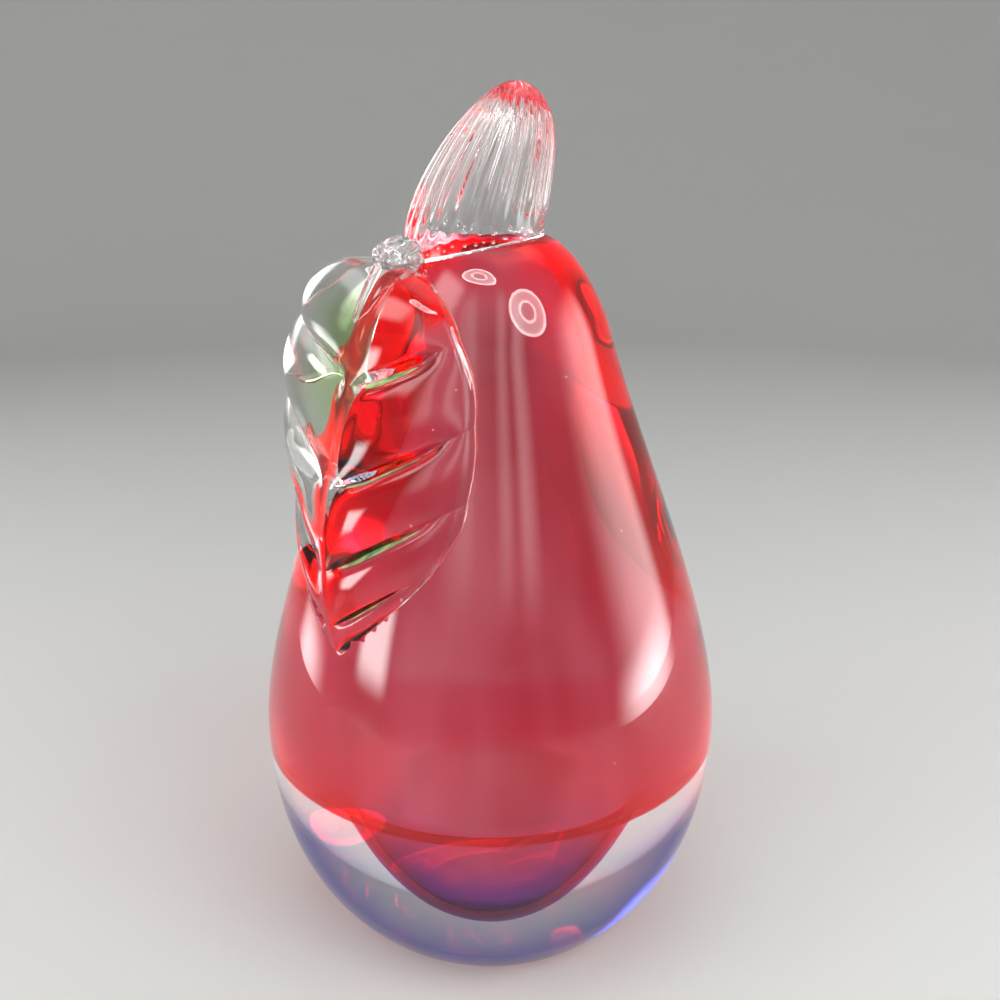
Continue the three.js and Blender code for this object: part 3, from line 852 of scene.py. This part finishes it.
def makeSweep():
    level = studio["floorLevel"]
    run = [Vector((0, level)), Vector((studio["floorRadius"], level))]
    for step in range(1, studio["coveSteps"] + 1):
        angle = math.pi / 2 * step / studio["coveSteps"]
        reach = studio["floorRadius"] + studio["cove"] * math.sin(angle)
        run.append(Vector((reach, studio["cove"] * (1 - math.cos(angle)) + level)))
    run.append(run[-1] + Vector((0, studio["wall"])))
    bm = turned(run, studio["sides"], lambda strip: 0)
    bmesh.ops.reverse_faces(bm, faces=bm.faces)
    material, tree = newNodes("paleSweep")
    shader = add(tree, "ShaderNodeBsdfPrincipled", Roughness=0.75)
    result = tree.nodes.new("ShaderNodeOutputMaterial")
    grain = add(tree, "ShaderNodeTexNoise", Scale=18.0, Detail=3.0)
    pale = studio["floor"]
    tint = mixColours(tree, grain.outputs["Fac"], pale, tuple(studio["floorGrain"] * c for c in pale))
    tree.links.new(tint, shader.inputs["Base Color"])
    tree.links.new(shader.outputs["BSDF"], result.inputs["Surface"])
    sweep = addPiece("paleSweep", bm, [material])


def rampOf(tree, value, stops):
    ramp = tree.nodes.new("ShaderNodeValToRGB")
    ramp.color_ramp.interpolation = "EASE"
    while len(ramp.color_ramp.elements) < len(stops):
        ramp.color_ramp.elements.new(0.5)
    for element, (place, level) in zip(ramp.color_ramp.elements, stops):
        element.position = place
        element.color = (level, level, level, 1)
    tree.links.new(value, ramp.inputs["Fac"])
    return ramp.outputs["Color"]


# levels of light across a sheet, as (place, level) stops
soft = [(0.0, 0.0), (0.3, 1.0), (0.7, 1.0), (1.0, 0.0)]
faint = [(0.0, 0.0), (0.5, 1.0), (0.55, 1.0), (1.0, 0.0)]
lateral = [(0.0, 0.0), (0.25, 1.0), (0.45, 1.0), (1.0, 0.0)]
twinRings = [
    (0.0, 0.2), (0.15, 0.2), (0.2, 1.0), (0.26, 0.35), (0.4, 0.4), (0.45, 1.0), (0.49, 1.0), (0.5, 0.0),
]
bands = [
    (0.0, 0.0), (0.18, 0.7), (0.27, 0.15), (0.36, 0.6), (0.46, 0.15), (0.58, 0.2), (0.7, 0.55), (1.0, 0.0),
]


# glow of a clear sheet: soft edges and bands, or rings round its middle
def makeGlow(name, look):
    material, tree = newNodes(name)
    place = tree.nodes.new("ShaderNodeTexCoord")
    glow = tree.nodes.new("ShaderNodeEmission")
    result = tree.nodes.new("ShaderNodeOutputMaterial")
    share = tree.nodes.new("ShaderNodeVectorMath")
    share.operation = "MULTIPLY_ADD"
    share.inputs[1].default_value = (1 / look["size"][0], 1 / look["size"][1], 0)
    share.inputs[2].default_value = (0.5, 0.5, 0)
    tree.links.new(place.outputs["Object"], share.inputs[0])
    if "rings" in look:
        apart = tree.nodes.new("ShaderNodeVectorMath")
        apart.operation = "DISTANCE"
        apart.inputs[1].default_value = (0.5, 0.5, 0)
        tree.links.new(share.outputs["Vector"], apart.inputs[0])
        level = rampOf(tree, apart.outputs["Value"], look["rings"])
    else:
        split = tree.nodes.new("ShaderNodeSeparateXYZ")
        tree.links.new(share.outputs["Vector"], split.inputs["Vector"])
        across = rampOf(tree, split.outputs["X"], look.get("across", soft))
        upward = rampOf(tree, split.outputs["Y"], look.get("upward", soft))
        level = linkMath(tree, "MULTIPLY", across, upward)
    strength = add(tree, "ShaderNodeMath")
    strength.operation = "MULTIPLY"
    strength.inputs[1].default_value = look["glow"]
    tree.links.new(level, strength.inputs[0])
    tree.links.new(strength.outputs["Value"], glow.inputs["Strength"])
    clear = tree.nodes.new("ShaderNodeBsdfTransparent")
    both = tree.nodes.new("ShaderNodeAddShader")
    tree.links.new(glow.outputs["Emission"], both.inputs[0])
    tree.links.new(clear.outputs["BSDF"], both.inputs[1])
    tree.links.new(both.outputs["Shader"], result.inputs["Surface"])
    return material


# glowing sheet that faces the pear and that the camera itself doesn't see
def addSheet(name, look):
    width, height = look["size"]
    bm = bmesh.new()
    corners = [(-0.5, -0.5), (0.5, -0.5), (0.5, 0.5), (-0.5, 0.5)]
    bm.faces.new([bm.verts.new((x * width, y * height, 0)) for x, y in corners])
    sheet = addPiece(name, bm, [makeGlow(name, look)])
    azimuth, elevation = (math.radians(angle) for angle in look["from"])
    level = math.cos(elevation)
    back = Vector((math.sin(azimuth) * level, -math.cos(azimuth) * level, math.sin(elevation)))
    sheet.location = Vector((0, 0, studio["lampAim"])) + back * look["distance"]
    tilt = Quaternion((0, 0, 1), math.radians(look.get("tilt", 0)))
    sheet.rotation_euler = ((-back).to_track_quat("Z", "Y") @ tilt).to_euler()
    sheet.visible_camera = False
    sheet.visible_shadow = False
    sheet.visible_diffuse = not look.get("mirrorOnly", False)


def makeSky():
    world = bpy.data.worlds.new("studioSky")
    bpy.context.scene.world = world
    world.use_nodes = True
    tree = world.node_tree
    tree.nodes.clear()
    place = tree.nodes.new("ShaderNodeTexCoord")
    split = tree.nodes.new("ShaderNodeSeparateXYZ")
    climb = add(tree, "ShaderNodeMapRange", From_Min=0.0, From_Max=0.9, To_Min=studio["skyLow"],
                To_Max=studio["skyHigh"])
    sky = tree.nodes.new("ShaderNodeBackground")
    result = tree.nodes.new("ShaderNodeOutputWorld")
    tree.links.new(place.outputs["Generated"], split.inputs["Vector"])
    tree.links.new(split.outputs["Z"], climb.inputs["Value"])
    tree.links.new(climb.outputs["Result"], sky.inputs["Strength"])
    tree.links.new(sky.outputs["Background"], result.inputs["Surface"])


makeSweep()
makeSky()
# lamps: from (degrees right of the front, degrees up), distance and size in metres
lamps = {
    "windowRight": {"from": (88, 6), "distance": 0.5, "size": (0.5, 0.6), "glow": 5.0, "across": lateral},
    "cardRight": {"from": (84, -9), "distance": 0.36, "size": (0.34, 0.1), "glow": 11.0, "across": faint,
                  "upward": faint, "mirrorOnly": True},
    "cardLeft": {"from": (-102, -10), "distance": 0.36, "size": (0.22, 0.08), "glow": 8.0, "across": faint,
                 "upward": faint, "mirrorOnly": True},
    "panelBehind": {"from": (-132, 24), "distance": 0.5, "size": (0.3, 0.36), "glow": 7.0,
                    "mirrorOnly": True},
    "roundKey": {"from": (45, 41), "distance": 0.5, "size": (0.29, 0.22), "glow": 15.0, "rings": twinRings,
                 "tilt": 20},
    "roundTop": {"from": (-20, 66), "distance": 0.5, "size": (0.26, 0.1), "glow": 18.0, "rings": twinRings},
    "panelLeft": {"from": (-60, 5), "distance": 0.45, "size": (0.18, 0.16), "glow": 14.0},
    "panelHigh": {"from": (-60, 48), "distance": 0.6, "size": (0.4, 0.3), "glow": 5.0},
    "frontBands": {"from": (0, 36), "distance": 0.6, "size": (0.8, 0.6), "glow": 4.5, "across": bands},
    "ceiling": {"from": (150, 76), "distance": 0.85, "size": (1.0, 1.0), "glow": 1.0},
}
for name, look in lamps.items():
    addSheet(name, look)
cycles = bpy.context.scene.cycles
cycles.max_bounces = 160
cycles.transmission_bounces = 160
cycles.glossy_bounces = 60
cycles.transparent_max_bounces = 64
cycles.caustics_reflective = False
cycles.caustics_refractive = False
bpy.context.scene.view_settings.view_transform = "Standard"
print("studio made")
